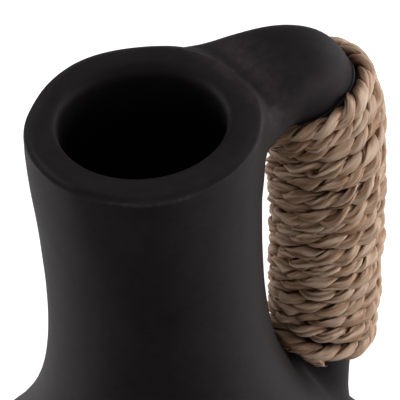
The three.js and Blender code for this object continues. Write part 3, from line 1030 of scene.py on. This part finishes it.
def windingPlace(turn, angle):
    # where a turn crosses the centre line, at one angle round it
    b = binding
    outer = outerShare(angle)
    wholeFan = 2 * wholeBend * windingRadius(limb.windingStart, math.pi) - b["startLean"]
    slack = b["outerSlack"] * np.maximum(turn - b["fanTurns"], 0)
    fan = wholeFan * np.clip(turn / b["fanTurns"], 0, 1) + slack
    run = turn * b["pitch"] + outer * fan - (1 - outer) * b["startLean"]
    run -= (b["earlyStart"] + b["highStart"] * (1 - outer)) * (1 - smooth(turn, 0, 6))
    sag = turn - b["fullTurns"]
    run += b["lowEnd"] * smooth(sag, -2.0, 0.0) * (1 - 1.3 * smooth(sag, 0.02, 0.34))
    distance = limb.windingStart + run
    for _ in range(20):
        distance = limb.windingStart + run - windingRadius(distance, angle) * np.cos(angle) * bendAt(distance)
    return distance


def onHandle(distance):
    # the centre line's point, and its outward direction
    return between(distance, limb.at, limb.points), between(distance, limb.at, limb.out)


def squareTo(way, vectors):
    return unit(vectors - way * (vectors * way).sum(1)[:, None])


def waver(generator, count, length, reach):
    # smooth random values along a cord, about one wide: reach is the distance between changes
    knots = int(length / reach) + 4
    values = generator.normal(size=knots)
    at = np.linspace(0, knots - 3.001, count) + 1
    low = at.astype(int)
    t = at - low
    a, b, c, d = (values[low + n] for n in (-1, 0, 1, 2))
    return b + 0.5 * t * (c - a + t * (2 * a - 5 * b + 4 * c - d + t * (3 * b - a - 3 * c + d)))


def cordRoute(step):
    # the middle of the cord at even steps, its outward side, and the direction across it
    turn = np.linspace(-0.03, turns + 0.02, 6000)
    angle = math.radians(binding["startAngle"]) - 2 * math.pi * turn
    distance = windingPlace(turn, angle)
    place, out = onHandle(distance)
    outward = np.stack([np.cos(angle) * out[:, 0], -np.sin(angle), np.cos(angle) * out[:, 1]], axis=-1)
    points = np.insert(place, 1, 0, axis=1) + outward * windingRadius(distance, angle)[:, None]
    run = runAlong(points)
    at = np.linspace(0, run[-1], int(run[-1] / step) + 1)
    points = between(at, run, points)
    way = unit(np.gradient(points, axis=0))
    outward = squareTo(way, between(at, run, outward))
    return at, points, outward, np.cross(way, outward), -np.cos(np.interp(at, run, angle))


cord = {
    "step": 0.62,                # along the cord
    "lay": 18.4,                 # length of one full twist of the two plies
    "plyOffset": 1.95,
    "plyRadial": 1.84,           # half thickness of a ply across the cord
    "plyWide": 2.45,             # and along the cord's round
    "outerSpread": (0.10, 0.40), # how much wider the cord lies on the outer side: low down, in the bend
    "sides": 24,
    "bladeTwist": 20.0,          # the blades turn against the plies, and so run almost along the cord
    "creases": 4,
    "laps": 2,
    "ends": (0.8, 0.5),          # how far the ends bulge
    "seed": 5,
}


def plyMesh(number, route, generator):
    # values along the ply stand in columns, and values round it in rows
    at, points, outward, across, towardsNeck = route
    c = cord
    count, length, sides = len(at), at[-1], cord["sides"]
    at, towardsNeck = at[:, None], towardsNeck[:, None]
    shared = np.random.default_rng(c["seed"])

    def vary(size, reach, source=generator):
        return size * waver(source, count, length, reach)[:, None]

    phase = -2 * math.pi * at / c["lay"] + math.pi * number
    phase += vary(0.50, 24, shared) + vary(0.16, 9)
    fat = 1 + vary(0.18, 10) + vary(0.06, 5)
    offset = c["plyOffset"] * (1 + vary(0.12, 10))
    spin = np.cos(phase) * outward + np.sin(phase) * across
    middle = points + spin * offset + across * vary(0.42, 26, shared) + outward * vary(0.46, 11, shared)
    own = unit(np.gradient(middle, axis=0))
    first = squareTo(own, spin)
    second = np.cross(own, first)
    around = 2 * math.pi * np.arange(sides)[None, :] / sides
    bladeTurn = 2 * math.pi * at / c["bladeTwist"]
    ring = np.ones((count, sides))
    for n in range(c["creases"]):
        wander = 2 * math.pi * n / c["creases"] + vary(1.1, 28) + bladeTurn
        depth = np.clip(0.19 + vary(0.15, 12), 0, 0.42)
        gap = (around - wander + math.pi) % (2 * math.pi) - math.pi
        ring -= depth * np.exp(-(gap / 0.30) ** 2)
        ring += 0.35 * depth * np.exp(-((np.abs(gap) - 0.62) / 0.30) ** 2)
    for n in range(c["laps"]):
        # the edge of a blade, which laps over the one below it
        wander = math.pi * n + vary(0.9, 20) + bladeTurn
        lap = ((around - wander) / (2 * math.pi)) % 1
        ring += np.clip(0.13 + vary(0.10, 9), 0, 0.3) * (lap - 0.5)
    for n in range(3):
        ring += 0.022 * np.cos((3 + 2 * n) * around + vary(3, 16))
    taper = smooth(at, 0, 7) * 0.45 + 0.55
    thick = ring * np.cos(around) * (c["plyRadial"] * (2 - fat) * taper)
    wide = ring * np.sin(around) * (c["plyWide"] * fat * taper)
    body = middle[:, None] + first[:, None] * thick[..., None] + second[:, None] * wide[..., None]
    # on the outer side of the bend the turns are drawn flat and wide, so that they still meet
    low, high = c["outerSpread"]
    bend = 1 - smooth(at / length, 0.44, 0.60)
    spread = (low + (high - low) * bend) * (1 - towardsNeck) / 2
    aside = ((body - points[:, None]) * across[:, None]).sum(-1) * spread
    body = body + across[:, None] * aside[..., None]
    flat = body.reshape(-1, 3)
    ends = np.stack([
        flat[:sides].mean(0) - own[0] * c["ends"][0], flat[-sides:].mean(0) + own[-1] * c["ends"][1]])
    here = np.arange(sides)
    after = (here + 1) % sides
    last = len(flat) - sides
    caps = np.concatenate([
        np.stack([np.full(sides, len(flat)), after, here], axis=1),
        np.stack([np.full(sides, len(flat) + 1), last + here, last + after], axis=1),
    ])
    # place along and round the ply, turned with its blades
    blade = around - bladeTurn
    strand = np.stack([at + 0 * ring, np.cos(blade), np.sin(blade)], axis=-1).reshape(-1, 3)
    strand = np.concatenate([strand, strand[:1], strand[-1:]])
    # painted shade: darkest deep in the cord and in its creases, and darker on the side towards the neck
    fromMiddle = ((body - points[:, None]) * outward[:, None]).sum(-1)
    paintedLight = 1 - 0.30 * smooth(towardsNeck, 0.0, 0.9)
    shade = ring * paintedLight * (0.6 + 0.4 * np.clip(fromMiddle / 3.4, -1, 1))
    shade = np.concatenate([shade.ravel(), [0.5, 0.5]])
    faces = [ringQuads(count, sides), caps]
    return np.concatenate([flat, ends]), faces, strand, shade, (body, first, second, own)


shreds = {
    "count": 90,
    "length": (6.0, 15.0),
    "width": (0.35, 0.9),
    "thickness": 0.16,
    "lift": (0.15, 1.3),
    "atEnd": 6,
    "seed": 21,
}


def shredMesh(surfaces):
    # thin torn fibres that lie along the plies and lift off at their tips
    g = shreds
    rng = np.random.default_rng(g["seed"])
    thick = g["thickness"] / 2
    made, start = [], 0
    for n in range(g["count"]):
        body, first, second, own = surfaces[n % 2]
        count, sides = body.shape[:2]
        atEnd = n < g["atEnd"]
        steps = int(rng.uniform(*g["length"]) / cord["step"])
        begin = count - 1 - int(steps * rng.uniform(0.86, 0.98)) if atEnd else int(rng.integers(12, count - 40))
        side = rng.uniform(0, sides)
        turn = rng.normal() * 0.10
        width = rng.uniform(*g["width"])
        lift = rng.uniform(*g["lift"]) ** 1.5
        rows = []
        for k in range(steps + 1):
            share = k / steps
            i = min(begin + k, count - 1)
            beyond = begin + k - i
            angle = (side + turn * k) * 2 * math.pi / sides
            spot = angle / (2 * math.pi) * sides
            low, part = int(spot) % sides, spot % 1
            place = body[i, low] * (1 - part) + body[i, (low + 1) % sides] * part
            away = unit(first[i] * math.cos(angle) + second[i] * math.sin(angle))
            aside = np.cross(own[i], away)
            place = place + own[i] * beyond * cord["step"] + away * (0.02 + lift * share ** 3)
            swell = math.sin(math.pi * min(0.08 + share * 1.3, 1) ** 0.8) * 0.6 + 0.4
            half = width / 2 * swell * (1.02 - share ** 3)
            rows.append([
                place + aside * half - away * thick, place + away * thick * 1.4,
                place - aside * half - away * thick, place - away * thick * 2])
        points = np.array(rows).reshape(-1, 3)
        last = steps * 4
        quads = np.concatenate([ringQuads(steps + 1, 4), [[3, 2, 1, 0], [last, last + 1, last + 2, last + 3]]])
        along = np.repeat(np.arange(steps + 1) * cord["step"] + n * 131.0, 4)
        strand = np.stack([along, np.tile([0.2, 0, -0.2, 0], steps + 1), 0 * along], axis=1)
        shade = np.full(len(points), rng.uniform(0.86, 1.0))
        made.append((points, facingOut(points, [quads])[0] + start, strand, shade))
        start += len(points)
    points, quads, strand, shade = (np.concatenate(part) for part in zip(*made))
    return points, [quads], strand, shade


def plantMaterial():
    material, shader, surface = newMaterial("driedGrass")
    strand = shader.add("Attribute", attribute_name="strand").outputs["Vector"]
    shade = shader.add("Attribute", attribute_name="shade").outputs["Fac"]
    split = shader.add("SeparateXYZ", {0: strand}).outputs

    def alongFibres(perLength, perRound):
        scaled = {
            n: shader.math("MULTIPLY", split[n], scale)
            for n, scale in enumerate((perLength, perRound, perRound))}
        return shader.add("CombineXYZ", scaled).outputs[0]

    # blades change colour every few centimetres, and carry fine fibres along them
    patch = shader.noise(alongFibres(0.075, 0.9), 1.0, 3.0, 0.55)
    fibre = shader.noise(alongFibres(0.22, 8.5), 1.0, 4.0, 0.7)
    tone = shader.ramp(patch, [
        (0.28, (0.370, 0.185, 0.095)), (0.40, (0.560, 0.350, 0.225)), (0.50, (0.715, 0.500, 0.358)),
        (0.62, (0.780, 0.590, 0.450)), (0.76, (0.630, 0.370, 0.215))])
    streak = shader.ramp(fibre, [(0.30, grey(0.62)), (0.50, grey(0.95)), (0.70, grey(1.12))])
    # painted shade from the shade layer, darkest deep in the cord and towards the neck
    paintedShade = shader.ramp(shade, [
        (0.36, (0.13, 0.075, 0.045)), (0.60, (0.46, 0.36, 0.29)),
        (0.77, (0.92, 0.89, 0.86)), (0.92, (1, 1, 1))])
    fibred = shader.multiplied(tone, streak, 0.85)
    shader.feed(surface, {
        "Base Color": shader.multiplied(fibred, paintedShade, 0.86),
        "Roughness": 0.62,
        "Specular IOR Level": 0.3,
        "Normal": shader.bump(fibre, 0.5, 0.00025),
    })
    return material


def makeCord():
    route = cordRoute(cord["step"])
    print(f"cord: {route[0][-1] / 1000:.2f} m in its turns")
    material = plantMaterial()
    made, surfaces = [], []
    for number in (0, 1):
        generator = np.random.default_rng(cord["seed"] + 10 + number)
        points, faces, strand, shade, surface = plyMesh(number, route, generator)
        surfaces.append(surface)
        made.append((f"cord_ply_{number + 1}", points, faces, strand + [number * 4000, 0, 0], shade))
    made.append(("cord_shreds", *shredMesh(surfaces)))
    for name, points, faces, strand, shade in made:
        piece = meshObject(name, points, faces, material)
        addLayer(piece, "strand", strand)
        addLayer(piece, "shade", shade)
        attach(piece, "root")
        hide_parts("cord_winding")


makeCord()
print("cord made")


tape = {
    "lift": 0.3,                 # over the clay
    "thickness": 0.6,
    "margin": 3.8,
    "width": 19.0,
    "around": 72,
    "step": 1.2,
}


def tapeMaterial():
    material, shader, surface = newMaterial("darkTape")
    weave = shader.noise(shader.add("TexCoord").outputs["Object"], 1500.0, 2.0)
    shader.feed(surface, {
        "Base Color": shader.ramp(weave, [(0.35, (0.006, 0.007, 0.012)), (0.65, (0.012, 0.013, 0.020))]),
        "Roughness": 0.5,
        "Specular IOR Level": 0.35,
        "Normal": shader.bump(weave, 0.3, 0.0001),
    })
    return material


def makeTape():
    b, t = binding, tape
    shown = (b["cordDiameter"] / 2 + t["margin"]) / b["pitch"]
    first, last = 1 - shown, turns - 1 + shown
    rows = int((last - first) * b["pitch"] / t["step"])
    level = np.linspace(first, last, rows + 1)[:, None]
    angle = (2 * math.pi * np.arange(t["around"]) / t["around"])[None, :]
    distance = windingPlace(level + 0 * angle, angle + 0 * level)
    place, out = onHandle(distance)
    top, bottom, half = (np.interp(distance, limb.at, size) for size in (limb.top, limb.bottom, limb.half))
    # each lap of tape ends in a small step over the one before
    lap = ((level * b["pitch"] + angle / (2 * math.pi) * t["width"]) / t["width"]) % 1
    rise = t["lift"] + t["thickness"] * (0.72 + 0.28 * smooth(lap, 0.0, 0.07) * (1 - 0.6 * smooth(lap, 0.3, 1)))

    def ringPoints(letOut):
        high = ((top + bottom) / 2 + letOut) * np.cos(angle) + (top - bottom) / 2
        aside = -(half + letOut) * np.sin(angle)
        across, up = place[..., 0] + out[..., 0] * high, place[..., 1] + out[..., 1] * high
        return np.stack([across, aside, up], axis=-1)

    rings = np.concatenate([ringPoints(rise), ringPoints(t["lift"] * 0.5 + 0 * rise)[::-1]])
    quads = ringQuads(*rings.shape[:2], isClosed=True)
    made = meshObject("backing_wrap", rings.reshape(-1, 3), [quads], tapeMaterial())
    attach(made, "root")
    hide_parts("backing_tape")


makeTape()
print("tape made")
